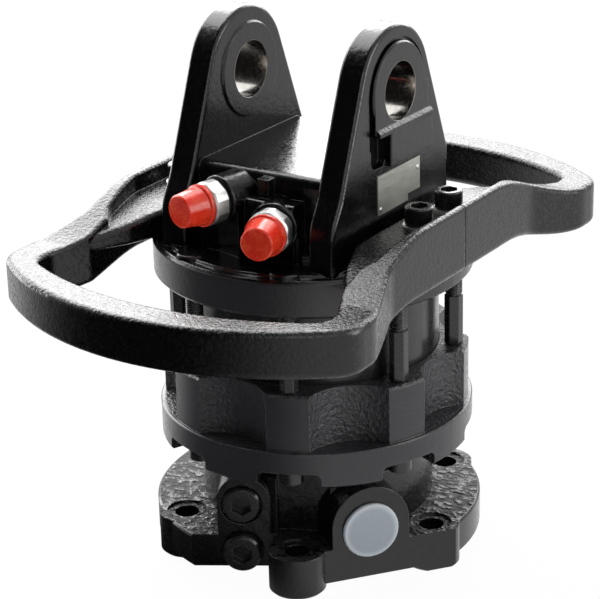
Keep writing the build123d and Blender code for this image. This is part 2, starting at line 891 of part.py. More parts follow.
def shipping_plug():
    """Pale push-in plug for the large port, with a broad flat head."""
    seat = big_port_face + end_gap
    head = Cylinder(25, 3.4, align=centre_low)
    head = chamfer(head.edges().group_by(Axis.Z)[-1], 1.0)
    skirt = Pos(0, 0, -12) * Cylinder(big_port_radius - cap_fit, 13, align=centre_low)
    hollow = Pos(0, 0, -13) * Cylinder(big_port_radius - 2.4, 12.5, align=centre_low)
    return radial(port_face_turn, big_port_offset, big_port_z, seat) * (head + skirt - hollow)


def shaft_screws():
    screw = Rot(180, 0, 0) * socket_screw(12, 18, 11, 10, 32)
    return union([place * Pos(0, 0, shaft_screw_seat) * screw for place in on_circle(8, 38, 22.5)])


def write(name, shape):
    shape.label = name
    export_step(shape, os.path.join("parts", name + ".step"))


def main():
    os.makedirs("parts", exist_ok=True)
    (left_turn, left_z), (right_turn, right_z) = port_axes()
    write("head_casting", head_casting())
    write("port_adapter_left", port_adapter(left_turn, left_z))
    write("port_adapter_right", port_adapter(right_turn, right_z))
    write("port_washer_left", port_washer(left_turn, left_z))
    write("port_washer_right", port_washer(right_turn, right_z))
    write("port_cap_left", port_cap(left_turn, left_z))
    write("port_cap_right", port_cap(right_turn, right_z))
    write("nameplate", nameplate())
    write("nameplate_rivets", nameplate_rivets())
    write("guard_front_half", guard_half())
    write("guard_rear_half", guard_rear_half())
    write("guard_screws", guard_screws())
    write("guard_washers", guard_washers())
    write("stator_ring", stator_ring())
    write("lower_housing", lower_housing())
    write("assembly_bolts", assembly_bolts())
    write("stator_dowels", stator_dowels())
    write("stator_seal_upper", seal_ring(92, 1.6, disc_bottom + 1.6))
    write("stator_seal_lower", seal_ring(92, 1.6, stator_bottom - 1.6))
    write("shaft_seal", shaft_seal())
    write("bearing_outer_race", bearing_outer_race())
    write("bearing_snap_ring", snap_ring())
    write("upper_bush", upper_bush())
    write("oil_spindle", oil_spindle())
    write("spindle_rings", spindle_rings())
    write("rotor_flange", rotor_flange())
    write("rotor_shaft", rotor_shaft())
    write("shaft_screws", shaft_screws())
    write("rotor_core", rotor_core())
    write("core_keys", core_keys())
    write("vanes", vanes())
    write("vane_springs", vane_springs())
    write("bearing_inner_race", bearing_inner_race())
    write("bearing_rollers", bearing_rollers())
    write("bearing_cage", bearing_cage())
    write("bearing_nut", bearing_nut())
    write("service_plugs", service_plugs())
    write("plug_washers", plug_washers())
    write("shipping_plug", shipping_plug())


main()
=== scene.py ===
import json
import math

import bmesh
import bpy
from mathutils import Matrix, Vector


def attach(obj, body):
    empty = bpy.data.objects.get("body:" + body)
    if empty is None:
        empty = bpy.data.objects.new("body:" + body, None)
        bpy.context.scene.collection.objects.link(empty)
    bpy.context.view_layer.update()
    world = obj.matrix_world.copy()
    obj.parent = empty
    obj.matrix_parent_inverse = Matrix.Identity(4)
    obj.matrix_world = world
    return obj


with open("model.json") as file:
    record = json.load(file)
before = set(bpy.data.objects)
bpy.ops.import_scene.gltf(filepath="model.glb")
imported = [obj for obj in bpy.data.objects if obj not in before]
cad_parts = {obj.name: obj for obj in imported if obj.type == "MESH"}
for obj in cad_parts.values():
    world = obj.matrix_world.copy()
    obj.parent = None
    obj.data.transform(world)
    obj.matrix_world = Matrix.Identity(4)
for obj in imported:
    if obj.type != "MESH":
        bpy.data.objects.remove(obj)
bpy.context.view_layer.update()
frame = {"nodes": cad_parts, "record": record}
print("rotator: frame loaded")

# Lengths in the dictionaries are millimetres, except where lamps and camera stand
mm = 0.001
millimetresPerMetre = 1000.0
noiseMiddle = (0.3, 0.7)  # most of a noise texture's values lie between these


def addNode(tree, kind, values=None, **settings):
    node = tree.nodes.new(kind)
    for key, value in settings.items():
        setattr(node, key, value)
    for key, value in (values or {}).items():
        node.inputs[key].default_value = value
    return node


# inputs and outputs are rows of name, kind and, for inputs, a starting value
def newGroup(name, inputs, outputs):
    tree = bpy.data.node_groups.new(name, "ShaderNodeTree")
    for label, kind, value in inputs:
        socket = tree.interface.new_socket(name=label, in_out="INPUT", socket_type=kind)
        socket.default_value = value
    for label, kind in outputs:
        tree.interface.new_socket(name=label, in_out="OUTPUT", socket_type=kind)
    return tree, tree.nodes.new("NodeGroupInput"), tree.nodes.new("NodeGroupOutput")


def feed(tree, socket, value):
    if isinstance(value, bpy.types.NodeSocket):
        tree.links.new(value, socket)
    else:
        socket.default_value = value


# Links outputs to the named sockets of a node
def connect(tree, node, sockets):
    for key, source in sockets.items():
        tree.links.new(source, node.inputs[key])


def mathNode(tree, operation, a, b=0.0):
    node = addNode(tree, "ShaderNodeMath", operation=operation)
    feed(tree, node.inputs[0], a)
    feed(tree, node.inputs[1], b)
    return node.outputs[0]


def multiply(tree, a, b):
    return mathNode(tree, "MULTIPLY", a, b)


# The part of the surface that a mask leaves out
def outside(tree, mask):
    return mathNode(tree, "SUBTRACT", 1.0, mask)


def rampNode(tree, source, low, high, outLow=0.0, outHigh=1.0):
    node = addNode(tree, "ShaderNodeMapRange", interpolation_type="SMOOTHSTEP")
    for key, value in (("Value", source), ("From Min", low), ("From Max", high),
                       ("To Min", outLow), ("To Max", outHigh)):
        feed(tree, node.inputs[key], value)
    return node.outputs["Result"]


def mixColour(tree, factor, a, b):
    node = addNode(tree, "ShaderNodeMix", data_type="RGBA")
    tree.links.new(factor, node.inputs["Factor"])
    for socket, value in ((node.inputs[6], a), (node.inputs[7], b)):
        feed(tree, socket, (*value, 1.0) if isinstance(value, tuple) else value)
    return node.outputs[2]


def mixShader(tree, factor, first, second):
    node = tree.nodes.new("ShaderNodeMixShader")
    tree.links.new(factor, node.inputs["Fac"])
    tree.links.new(first.outputs[0], node.inputs[1])
    tree.links.new(second.outputs[0], node.inputs[2])
    return node


def noiseNode(tree, place, scale, detail=2.0, roughness=0.5, stretch=None):
    if stretch is not None:
        mapping = addNode(tree, "ShaderNodeMapping", {"Scale": stretch})
        tree.links.new(place, mapping.inputs["Vector"])
        place = mapping.outputs["Vector"]
    node = addNode(tree, "ShaderNodeTexNoise", {"Detail": detail, "Roughness": roughness})
    tree.links.new(place, node.inputs["Vector"])
    feed(tree, node.inputs["Scale"], scale)
    return node.outputs["Fac"]


# Noise scale for features of a given size in millimetres
def scaleFor(tree, size):
    return mathNode(tree, "DIVIDE", millimetresPerMetre, size)


def objectPlace(tree):
    return tree.nodes.new("ShaderNodeTexCoord").outputs["Object"]


def splitAxes(tree, vector):
    split = tree.nodes.new("ShaderNodeSeparateXYZ")
    tree.links.new(vector, split.inputs[0])
    return split.outputs["X"], split.outputs["Y"], split.outputs["Z"]


def distanceTo(tree, a, b, centreA=0.0, centreB=0.0):
    awayA = mathNode(tree, "SUBTRACT", a, centreA)
    awayB = mathNode(tree, "SUBTRACT", b, centreB)
    squares = multiply(tree, awayA, awayA), multiply(tree, awayB, awayB)
    return mathNode(tree, "SQRT", mathNode(tree, "ADD", *squares))


# noise pairs are detail and roughness
grainLook = {
    "fineNoise": (3.0, 0.6),
    "softNoise": (1.0, 0.4),
    "shadeRange": (0.35, 0.68),
}


# Sand-cast skin: fine grain over soft pebbles
def castGrainGroup():
    tree, given, result = newGroup(
        "castGrain",
        [("Grain Size", "NodeSocketFloat", 1.5), ("Pebble Size", "NodeSocketFloat", 7.0),
         ("Grain Height", "NodeSocketFloat", 0.5), ("Pebble Height", "NodeSocketFloat", 0.5)],
        [("Height", "NodeSocketFloat"), ("Shade", "NodeSocketFloat")])
    place = objectPlace(tree)
    grainScale = scaleFor(tree, given.outputs["Grain Size"])
    pebbleScale = scaleFor(tree, given.outputs["Pebble Size"])
    fine = noiseNode(tree, place, grainScale, *grainLook["fineNoise"])
    soft = noiseNode(tree, place, pebbleScale, *grainLook["softNoise"])
    height = mathNode(tree, "ADD", multiply(tree, fine, given.outputs["Grain Height"]),
                      multiply(tree, soft, given.outputs["Pebble Height"]))
    shade = rampNode(tree, fine, *grainLook["shadeRange"])
    connect(tree, result, {"Height": height, "Shade": shade})
    return tree


edgeLook = {
    "samples": 6,
    "bend": (0.995, 0.86),  # cosine between true and rounded normal, flat to full edge
    "patchNoise": (3.0, 0.7),
    "patchRange": (0.42, 0.62),
}


# Rounds the look of sharp edges and gives a patchy mask of where they are, for paler edges that are
# partly wear and partly a painted highlight
def softEdgeGroup():
    tree, given, result = newGroup(
        "softEdge",
        [("Radius", "NodeSocketFloat", 0.0015), ("Edge Patch Size", "NodeSocketFloat", 2.0)],
        [("Normal", "NodeSocketVector"), ("Edge", "NodeSocketFloat")])
    bevel = addNode(tree, "ShaderNodeBevel", samples=edgeLook["samples"])
    tree.links.new(given.outputs["Radius"], bevel.inputs["Radius"])
    geometry = tree.nodes.new("ShaderNodeNewGeometry")
    turn = addNode(tree, "ShaderNodeVectorMath", operation="DOT_PRODUCT")
    tree.links.new(bevel.outputs["Normal"], turn.inputs[0])
    tree.links.new(geometry.outputs["Normal"], turn.inputs[1])
    edge = rampNode(tree, turn.outputs["Value"], *edgeLook["bend"])
    edgePatchScale = scaleFor(tree, given.outputs["Edge Patch Size"])
    patch = noiseNode(tree, objectPlace(tree), edgePatchScale, *edgeLook["patchNoise"])
    # mask of paler edges: partly wear, partly a painted highlight
    edgeHighlightAndWear = multiply(tree, edge, rampNode(tree, patch, *edgeLook["patchRange"]))
    connect(tree, result, {"Normal": bevel.outputs["Normal"], "Edge": edgeHighlightAndWear})
    return tree


# Mask of surfaces that look up
def faceUpGroup():
    tree, given, result = newGroup(
        "faceUp", [("Low", "NodeSocketFloat", 0.6), ("High", "NodeSocketFloat", 0.9)],
        [("Up", "NodeSocketFloat")])
    upward = splitAxes(tree, tree.nodes.new("ShaderNodeNewGeometry").outputs["Normal"])[2]
    up = rampNode(tree, upward, given.outputs["Low"], given.outputs["High"])
    connect(tree, result, {"Up": up})
    return tree


latheNoise = (2.0, 0.6)


# Fine rings left by the lathe around the rotation axis
def turnedLinesGroup():
    tree, given, result = newGroup(
        "turnedLines", [("Pitch", "NodeSocketFloat", 0.6)], [("Height", "NodeSocketFloat")])
    x, y, z = splitAxes(tree, objectPlace(tree))
    join = tree.nodes.new("ShaderNodeCombineXYZ")
    connect(tree, join, {"X": distanceTo(tree, x, y), "Y": z})
    lineScale = scaleFor(tree, given.outputs["Pitch"])
    connect(tree, result, {"Height": noiseNode(tree, join.outputs[0], lineScale, *latheNoise)})
    return tree


castGrain = castGrainGroup()
softEdge = softEdgeGroup()
faceUp = faceUpGroup()
turnedLines = turnedLinesGroup()


def useGroup(tree, group, values=None):
    node = addNode(tree, "ShaderNodeGroup", node_tree=group)
    for key, value in (values or {}).items():
        node.inputs[key].default_value = value
    return node


def newMaterial(name, shaderValues):
    material = bpy.data.materials.new(name)
    material.use_nodes = True
    tree = material.node_tree
    tree.nodes.clear()
    shader = addNode(tree, "ShaderNodeBsdfPrincipled", shaderValues)
    out = tree.nodes.new("ShaderNodeOutputMaterial")
    tree.links.new(shader.outputs[0], out.inputs["Surface"])
    return material, tree, shader


# look["bump"] is strength and depth
def addBump(tree, shader, height, look, normal=None):
    strength, depth = look["bump"]
    bump = addNode(tree, "ShaderNodeBump", {"Strength": strength, "Distance": depth * mm})
    tree.links.new(height, bump.inputs["Height"])
    if normal is not None:
        tree.links.new(normal, bump.inputs["Normal"])
    tree.links.new(bump.outputs["Normal"], shader.inputs["Normal"])
    return bump


# Gloss black paint over a casting; the parts come back so that a finish can add to them
def paintedCasting(name, look):
    material, tree, shader = newMaterial(name, {"Specular IOR Level": 0.5})
    skin = useGroup(tree, castGrain, look["grain"])
    edge = useGroup(tree, softEdge, {"Radius": look["edgeRadius"] * mm, "Edge Patch Size": 3.0})
    # Edges take a paler colour: partly wear, partly a painted highlight for the bright lines that
    # rounded edges catch
    edgeHighlightAndWearShare = multiply(tree, edge.outputs["Edge"], look["edgeHighlightAndWearShare"])
    colour = mixColour(tree, edgeHighlightAndWearShare, look["colour"], look["edgeHighlightAndWear"])
    rough = rampNode(tree, skin.outputs["Shade"], 0.0, 1.0, *look["roughness"])
    connect(tree, shader, {"Base Color": colour, "Roughness": rough})
    bump = addBump(tree, shader, skin.outputs["Height"], look, edge.outputs["Normal"])
    parts = {"colour": colour, "rough": rough, "bump": bump, "height": skin.outputs["Height"]}
    return material, tree, shader, parts


headLook = {
    "colour": (0.0022, 0.0024, 0.0028),
    "edgeHighlightAndWear": (0.060, 0.058, 0.058),
    "edgeHighlightAndWearShare": 0.5,
    "edgeRadius": 1.2,
    "roughness": (0.13, 0.26),
    "grain": {"Grain Size": 3.0, "Pebble Size": 9.0, "Grain Height": 0.55, "Pebble Height": 0.25},
    "bump": (0.42, 1.0),
    # paler colour on the disc's outer side, a painted sheen that lifts its brightness
    "discSideSheen": (0.026, 0.026, 0.029),
    "discRadius": 127.0,
    "discTop": 286.0,
    "boreSteel": (0.26, 0.24, 0.22),
    # the lower part of each bore is darker as painted shade, fading in over these depths
    "boreLowerShade": (0.15, 0.145, 0.135),
    "boreShadeFade": (2.0, 20.0),  # below the pin's axis
    "boreRadius": 25.4,
    "pinHeight": 422.0,
}


# Paint, with bare steel in the pin bores that is darkened towards their bottom as painted shade,
# and a paler band of painted sheen on the side of the round disc
def headMaterial():
    material, tree, shader, parts = paintedCasting("headPaint", headLook)
    x, y, z = splitAxes(tree, objectPlace(tree))
    pin = headLook["pinHeight"]
    fromPin = distanceTo(tree, y, z, 0.0, pin * mm)
    bore = mathNode(tree, "LESS_THAN", fromPin, headLook["boreRadius"] * mm)
    # painted shade: darker steel towards the bottom of the bore
    floor = rampNode(tree, z, *((pin - drop) * mm for drop in headLook["boreShadeFade"]))
    steel = mixColour(tree, floor, headLook["boreSteel"], headLook["boreLowerShade"])
    # painted sheen: paler colour on the side of the round disc
    below = mathNode(tree, "LESS_THAN", z, headLook["discTop"] * mm)
    beyond = mathNode(tree, "GREATER_THAN", distanceTo(tree, x, y), headLook["discRadius"] * mm)
    rim = multiply(tree, below, beyond)
    paint = mixColour(tree, rim, parts["colour"], headLook["discSideSheen"])
    connect(tree, shader, {"Base Color": mixColour(tree, bore, paint, steel), "Metallic": bore})
    connect(tree, parts["bump"], {"Height": multiply(tree, parts["height"], outside(tree, bore))})
    return material


guardLook = {
    "colour": (0.0020, 0.0022, 0.0026),
    "edgeHighlightAndWear": (0.060, 0.058, 0.058),
    "edgeHighlightAndWearShare": 0.5,
    "edgeRadius": 2.0,
    "roughness": (0.08, 0.34),
    "grain": {"Grain Size": 3.0, "Pebble Size": 9.0, "Grain Height": 1.30, "Pebble Height": 0.30},
    "bump": (0.66, 1.0),
    "top": {"Low": 0.3, "High": 0.8},
    "uprightShare": 0.42,
}


# The top faces are rougher than the upright ones
def guardMaterial():
    material, tree, shader, parts = paintedCasting("guardPaint", guardLook)
    up = useGroup(tree, faceUp, guardLook["top"])
    share = rampNode(tree, up.outputs["Up"], 0.0, 1.0, guardLook["uprightShare"], 1.0)
    connect(tree, parts["bump"], {"Height": multiply(tree, parts["height"], share)})
    return material


housingLook = {
    "colour": (0.026, 0.026, 0.030),
    "castColour": (0.032, 0.032, 0.036),
    # the paler edge colour is mostly a painted highlight on the scallop edges, partly wear
    "edgeHighlightAndWear": (0.22, 0.21, 0.21),
    "edgeHighlightAndWearShare": 0.9,
    "edgeRadius": 0.9,
    "roughness": (0.10, 0.26),
    "grain": {"Grain Size": 3.6, "Pebble Size": 6.0, "Grain Height": 2.4, "Pebble Height": 0.6},
    "bump": (1.0, 1.0),
    "turnedFrom": 136.0,
    "linePitch": 0.8,
    "lineHeight": 0.22,
    "turnedGrain": 0.05,
}


# The scallops are cast, the lobes and the rim are turned
def housingMaterial():
    material, tree, shader, parts = paintedCasting("housingPaint", housingLook)
    x, y, z = splitAxes(tree, objectPlace(tree))
    reach = distanceTo(tree, x, y)
    turned = mathNode(tree, "GREATER_THAN", reach, housingLook["turnedFrom"] * mm)
    colour = mixColour(tree, turned, housingLook["castColour"], parts["colour"])
    connect(tree, shader, {"Base Color": colour})
    lines = useGroup(tree, turnedLines, {"Pitch": housingLook["linePitch"]})
    cast = multiply(tree, parts["height"], outside(tree, turned))
    fine = multiply(tree, multiply(tree, lines.outputs["Height"], turned),
                    housingLook["lineHeight"])
    faint = multiply(tree, parts["height"], housingLook["turnedGrain"])
    height = mathNode(tree, "ADD", mathNode(tree, "ADD", cast, fine), faint)
    connect(tree, parts["bump"], {"Height": height})
    return material


flangeLook = {
    "colour": (0.0040, 0.0042, 0.0050),
    "edgeHighlightAndWear": (0.12, 0.12, 0.12),
    "edgeHighlightAndWearShare": 0.6,
    "edgeRadius": 1.4,
    "roughness": (0.12, 0.28),
    "grain": {"Grain Size": 2.0, "Pebble Size": 9.0, "Grain Height": 0.35, "Pebble Height": 0.8},
    "bump": (0.80, 1.0),
    "grainWithin": 145.0,
    "top": {"Low": 0.75, "High": 0.95},
    "ridgeSize": 7.0,
    "ridgeNoise": (2.0, 0.55, (0.8, 1.25, 1.0)),
    "ridgeHeight": 7.0,
    "streakRange": (0.50, 0.60),
    "streakRoughness": (0.70, 0.10),
}


# Rough ridges with glossy streaks on the top faces
def flangeMaterial():
    material, tree, shader, parts = paintedCasting("flangePaint", flangeLook)
    place = objectPlace(tree)
    x, y, z = splitAxes(tree, place)
    up = useGroup(tree, faceUp, flangeLook["top"]).outputs["Up"]
    ridgeScale = millimetresPerMetre / flangeLook["ridgeSize"]
    ridges = noiseNode(tree, place, ridgeScale, *flangeLook["ridgeNoise"])
    ridgeHeight = multiply(tree, multiply(tree, ridges, up), flangeLook["ridgeHeight"])
    streaks = rampNode(tree, ridges, *flangeLook["streakRange"], *flangeLook["streakRoughness"])
    side = multiply(tree, parts["rough"], outside(tree, up))
    connect(tree, shader, {"Roughness": mathNode(tree, "ADD", side, multiply(tree, streaks, up))})
    near = mathNode(tree, "LESS_THAN", distanceTo(tree, x, y), flangeLook["grainWithin"] * mm)
    cast = multiply(tree, parts["height"], near)
    connect(tree, parts["bump"], {"Height": mathNode(tree, "ADD", cast, ridgeHeight)})
    return material


# noise rows are scale, detail, roughness and stretch
statorLook = {
    "colour": (0.011, 0.011, 0.012),
    "paler": (0.019, 0.019, 0.020),
    "roughness": (0.20, 0.32),
    "patchNoise": (40.0, 3.0),
    "linePitch": 0.7,
    "bump": (0.06, 0.2),
}


def statorMaterial():
    material, tree, shader = newMaterial("statorPaint", {"Specular IOR Level": 0.5})
    lines = useGroup(tree, turnedLines, {"Pitch": statorLook["linePitch"]})
    patch = noiseNode(tree, objectPlace(tree), *statorLook["patchNoise"])
    connect(tree, shader, {
        "Base Color": mixColour(tree, patch, statorLook["colour"], statorLook["paler"]),
        "Roughness": rampNode(tree, patch, *noiseMiddle, *statorLook["roughness"])})
    addBump(tree, shader, lines.outputs["Height"], statorLook)
    return material


# Each metal: colour, darker patches, roughness range
metals = {
    "zinc": ((0.92, 0.92, 0.90), (0.70, 0.70, 0.69), (0.30, 0.50)),
    "ground_steel": ((0.52, 0.52, 0.53), (0.42, 0.42, 0.43), (0.22, 0.34)),
    "bearing_steel": ((0.60, 0.60, 0.61), (0.52, 0.52, 0.53), (0.12, 0.22)),
    "spring_steel": ((0.30, 0.30, 0.32), (0.20, 0.20, 0.22), (0.28, 0.40)),
    "bronze": ((0.60, 0.42, 0.20), (0.48, 0.32, 0.15), (0.28, 0.42)),
}
metalLook = {
    "streakNoise": (420.0, 3.0, 0.6, (1.0, 1.0, 8.0)),
    "patchNoise": (60.0, 3.0, 0.6),
    "edgeRadius": 0.6,
    "bump": (0.10, 0.2),
}


def metalMaterial(name, colour, darker, roughness):
    material, tree, shader = newMaterial(name, {"Metallic": 1.0})
    place = objectPlace(tree)
    streaks = noiseNode(tree, place, *metalLook["streakNoise"])
    patch = rampNode(tree, noiseNode(tree, place, *metalLook["patchNoise"]), *noiseMiddle)
    connect(tree, shader, {
        "Base Color": mixColour(tree, patch, colour, darker),
        "Roughness": rampNode(tree, streaks, *noiseMiddle, *roughness)})
    edge = useGroup(tree, softEdge, {"Radius": metalLook["edgeRadius"] * mm})
    addBump(tree, shader, streaks, metalLook, edge.outputs["Normal"])
    return material


screwLook = {
    "colour": (0.012, 0.012, 0.013),
    "edgeHighlightAndWear": (0.20, 0.20, 0.20),
    "roughness": (0.18, 0.32),
    "patchNoise": (300.0, 3.0, 0.6),
    "edgeRadius": 0.8,
    "bump": (0.12, 0.2),
}


def screwMaterial():
    material, tree, shader = newMaterial("screwOxide", {"Specular IOR Level": 0.6})
    patch = noiseNode(tree, objectPlace(tree), *screwLook["patchNoise"])
    edge = useGroup(tree, softEdge, {"Radius": screwLook["edgeRadius"] * mm, "Edge Patch Size": 1.5})
    # paler edges: partly wear, partly a painted highlight
    connect(tree, shader, {
        "Base Color": mixColour(tree, edge.outputs["Edge"], screwLook["colour"], screwLook["edgeHighlightAndWear"]),
        "Roughness": rampNode(tree, patch, *noiseMiddle, *screwLook["roughness"])})
    addBump(tree, shader, patch, screwLook, edge.outputs["Normal"])
    return material


capLook = {
    "colour": (0.86, 0.032, 0.012),
    "lighter": (0.98, 0.085, 0.028),
    "roughness": (0.18, 0.30),
    "plastic": {"Specular IOR Level": 0.5, "Subsurface Weight": 0.2, "Subsurface Scale": 0.003,
                "Subsurface Radius": (1.0, 0.3, 0.1)},
    "cloudNoise": (120.0, 3.0, 0.6),
    "cloudRange": (0.35, 0.75),
    "fineNoise": (900.0, 2.0, 0.5),
    "fineHeight": 0.4,
    "edgeRadius": 0.8,
    "bump": (0.30, 0.5),
}


def capMaterial():
    material, tree, shader = newMaterial("capPlastic", capLook["plastic"])
    place = objectPlace(tree)
    cloud = noiseNode(tree, place, *capLook["cloudNoise"])
    fine = noiseNode(tree, place, *capLook["fineNoise"])
    lighter = rampNode(tree, cloud, *capLook["cloudRange"])
    connect(tree, shader, {
        "Base Color": mixColour(tree, lighter, capLook["colour"], capLook["lighter"]),
        "Roughness": rampNode(tree, fine, *noiseMiddle, *capLook["roughness"])})
    edge = useGroup(tree, softEdge, {"Radius": capLook["edgeRadius"] * mm})
    height = mathNode(tree, "ADD", cloud, multiply(tree, fine, capLook["fineHeight"]))
    addBump(tree, shader, height, capLook, edge.outputs["Normal"])
    return material


plugLook = {
    "colour": (0.34, 0.39, 0.44),
    "cloudy": (0.42, 0.47, 0.51),
    "rim": (0.60, 0.66, 0.70),
    "rimRange": (19, 24),
    "turn": -38.5,  # degrees, where the port faces
    "offset": 3.7,
    "height": 51.2,
    "roughness": (0.32, 0.46),
    "plastic": {"Specular IOR Level": 0.5, "Subsurface Weight": 0.2, "Subsurface Scale": 0.003},
    "cloudNoise": (160.0, 3.0, 0.6),
    "ringPitch": 6.0,
    "ringHeight": 0.12,
    "edgeRadius": 0.7,
    "bump": (0.25, 0.4),
}


# Milky disc with a paler rim and faint moulded rings around its own centre
def plugMaterial():
    material, tree, shader = newMaterial("plugPlastic", plugLook["plastic"])
    turn = math.radians(plugLook["turn"])
    place = objectPlace(tree)
    x, y, z = splitAxes(tree, place)
    along = mathNode(tree, "ADD", multiply(tree, x, -math.sin(turn)),
                     multiply(tree, y, math.cos(turn)))
    reach = distanceTo(tree, along, z, plugLook["offset"] * mm, plugLook["height"] * mm)
    cloud = noiseNode(tree, place, *plugLook["cloudNoise"])
    inner = mixColour(tree, cloud, plugLook["colour"], plugLook["cloudy"])
    rim = rampNode(tree, reach, *(radius * mm for radius in plugLook["rimRange"]))
    connect(tree, shader, {
        "Base Color": mixColour(tree, rim, inner, plugLook["rim"]),
        "Roughness": rampNode(tree, cloud, *noiseMiddle, *plugLook["roughness"])})
    waves = multiply(tree, reach, 2 * math.pi / (plugLook["ringPitch"] * mm))
    rings = multiply(tree, mathNode(tree, "SINE", waves), plugLook["ringHeight"])
    edge = useGroup(tree, softEdge, {"Radius": plugLook["edgeRadius"] * mm})
    addBump(tree, shader, mathNode(tree, "ADD", rings, cloud), plugLook, edge.outputs["Normal"])
    return material


plateLook = {
    "colour": (0.62, 0.62, 0.57),
    "darker": (0.42, 0.42, 0.38),
    "metallic": 0.7,
    "roughness": (0.28, 0.46),
    "brushNoise": (500.0, 3.0, 0.7, (1.0, 0.06, 1.6)),
    "patchNoise": (90.0, 3.0, 0.6),
    "bump": (0.12, 0.15),
}


def plateMaterial():
    material, tree, shader = newMaterial("plateMetal", {"Metallic": plateLook["metallic"]})
    place = objectPlace(tree)
    brushed = noiseNode(tree, place, *plateLook["brushNoise"])
    patch = noiseNode(tree, place, *plateLook["patchNoise"])
    connect(tree, shader, {
        "Base Color": mixColour(tree, patch, plateLook["colour"], plateLook["darker"]),
        "Roughness": rampNode(tree, brushed, *noiseMiddle, *plateLook["roughness"])})
    addBump(tree, shader, brushed, plateLook)
    return material


# Each slot: material name, colour, darker patches, roughness range
rubbers = {
    "washer_dark": ("washerRubber", (0.030, 0.030, 0.030), (0.015, 0.015, 0.015), (0.5, 0.7)),
    "seal_rubber": ("sealRubber", (0.020, 0.020, 0.020), (0.010, 0.010, 0.010), (0.5, 0.7)),
    "seal_plastic": ("sealPlastic", (0.38, 0.24, 0.13), (0.30, 0.18, 0.10), (0.35, 0.5)),
}
rubberLook = {"patchNoise": (500.0, 3.0, 0.6), "bump": (0.1, 0.2)}


def rubberMaterial(name, colour, darker, roughness):
    material, tree, shader = newMaterial(name, {"Specular IOR Level": 0.35})
    patch = noiseNode(tree, objectPlace(tree), *rubberLook["patchNoise"])
    connect(tree, shader, {
        "Base Color": mixColour(tree, patch, colour, darker),
        "Roughness": rampNode(tree, patch, *noiseMiddle, *roughness)})
    addBump(tree, shader, patch, rubberLook)
    return material


finishes = {
    "cast_black": headMaterial(),
    "guard_black": guardMaterial(),
    "housing_black": housingMaterial(),
    "flange_black": flangeMaterial(),
    "stator_black": statorMaterial(),
    "screw_black": screwMaterial(),
    "cap_orange": capMaterial(),
    "plug_pale": plugMaterial(),
    "plate_metal": plateMaterial(),
}
for slotName, rubber in rubbers.items():
    finishes[slotName] = rubberMaterial(*rubber)
for slotName, metal in metals.items():
    finishes[slotName] = metalMaterial(slotName, *metal)
ownFinish = {"rotor_flange": "flange_black"}  # nodes that don't take their slot's finish

for entry in frame["record"]["subparts"]:
    node = frame["nodes"][entry["node"]]
    slotName = ownFinish.get(entry["node"], entry["material_slot"])
    node.data.materials.clear()
    node.data.materials.append(finishes[slotName])
print("rotator: finishes placed on", len(frame["nodes"]), "nodes")


# A closed mesh becomes an object that rides with a body of the part
def finishPiece(work, name, material, body):
    bmesh.ops.remove_doubles(work, verts=work.verts, dist=1e-6)
    bmesh.ops.recalc_face_normals(work, faces=work.faces)
    mesh = bpy.data.meshes.new(name)
    work.to_mesh(mesh)
    work.free()
    mesh.materials.append(material)
    piece = bpy.data.objects.new(name, mesh)
    bpy.context.scene.collection.objects.link(piece)
    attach(piece, body)


boltLook = {
    "count": 8,
    "circle": 124.0,
    "postLow": 184.2,
    "postHigh": 229.8,
    "postCorner": 8.3,
    "postEdge": 0.6,
    "threadLow": 231.4,
    "threadHigh": 254.6,
    "threadPitch": 2.0,
    "threadInner": 6.9,
    "threadOuter": 7.7,
    "threadWall": 1.5,
    "threadSteps": 20,
}


def boltCentres():
    step = 360.0 / boltLook["count"]
    for index in range(boltLook["count"]):
        turn = math.radians(step * (index + 0.5))
        around = (boltLook["circle"] * math.cos(turn), boltLook["circle"] * math.sin(turn), 0.0)
        yield Vector(around) * mm


# Hexagon part of each long screw, on the housing
def makePosts():
    work = bmesh.new()
    height = (boltLook["postHigh"] - boltLook["postLow"]) * mm
    radius = boltLook["postCorner"] * mm
    for centre in boltCentres():
        lift = Matrix.Translation(centre + Vector((0, 0, boltLook["postLow"] * mm + height / 2)))
        bmesh.ops.create_cone(work, cap_ends=True, segments=6, radius1=radius, radius2=radius,
                              depth=height, matrix=lift)
    bmesh.ops.bevel(work, geom=list(work.edges), offset=boltLook["postEdge"] * mm, segments=2,
                    affect="EDGES", profile=0.5, material=-1)
    finishPiece(work, "boltPosts", finishes["screw_black"], "head_side")


# Half section of one thread sleeve, as radius and height
def threadOutline():
    inner, outer, pitch = (boltLook["thread" + key] for key in ("Inner", "Outer", "Pitch"))
    z = boltLook["threadLow"]
    outline = [(inner, z)]
    while z < boltLook["threadHigh"] - pitch / 2:
        outline.append((outer, z + pitch / 2))
        z += pitch
        outline.append((inner, z))
    core = inner - boltLook["threadWall"]
    return outline + [(core, z), (core, boltLook["threadLow"])]


# Visible thread between the hexagon and the head
def makeThreads():
    work = bmesh.new()
    for centre in boltCentres():
        ring = [work.verts.new(centre + Vector((radius, 0.0, height)) * mm)
                for radius, height in threadOutline()]
        edges = [work.edges.new(pair) for pair in zip(ring, ring[1:] + ring[:1])]
        bmesh.ops.spin(work, geom=ring + edges, cent=centre, axis=(0, 0, 1), angle=2 * math.pi,
                       steps=boltLook["threadSteps"], use_merge=True, use_duplicate=False)
    finishPiece(work, "boltThreads", finishes["screw_black"], "head_side")


makePosts()
makeThreads()
print("rotator: bolt details made")


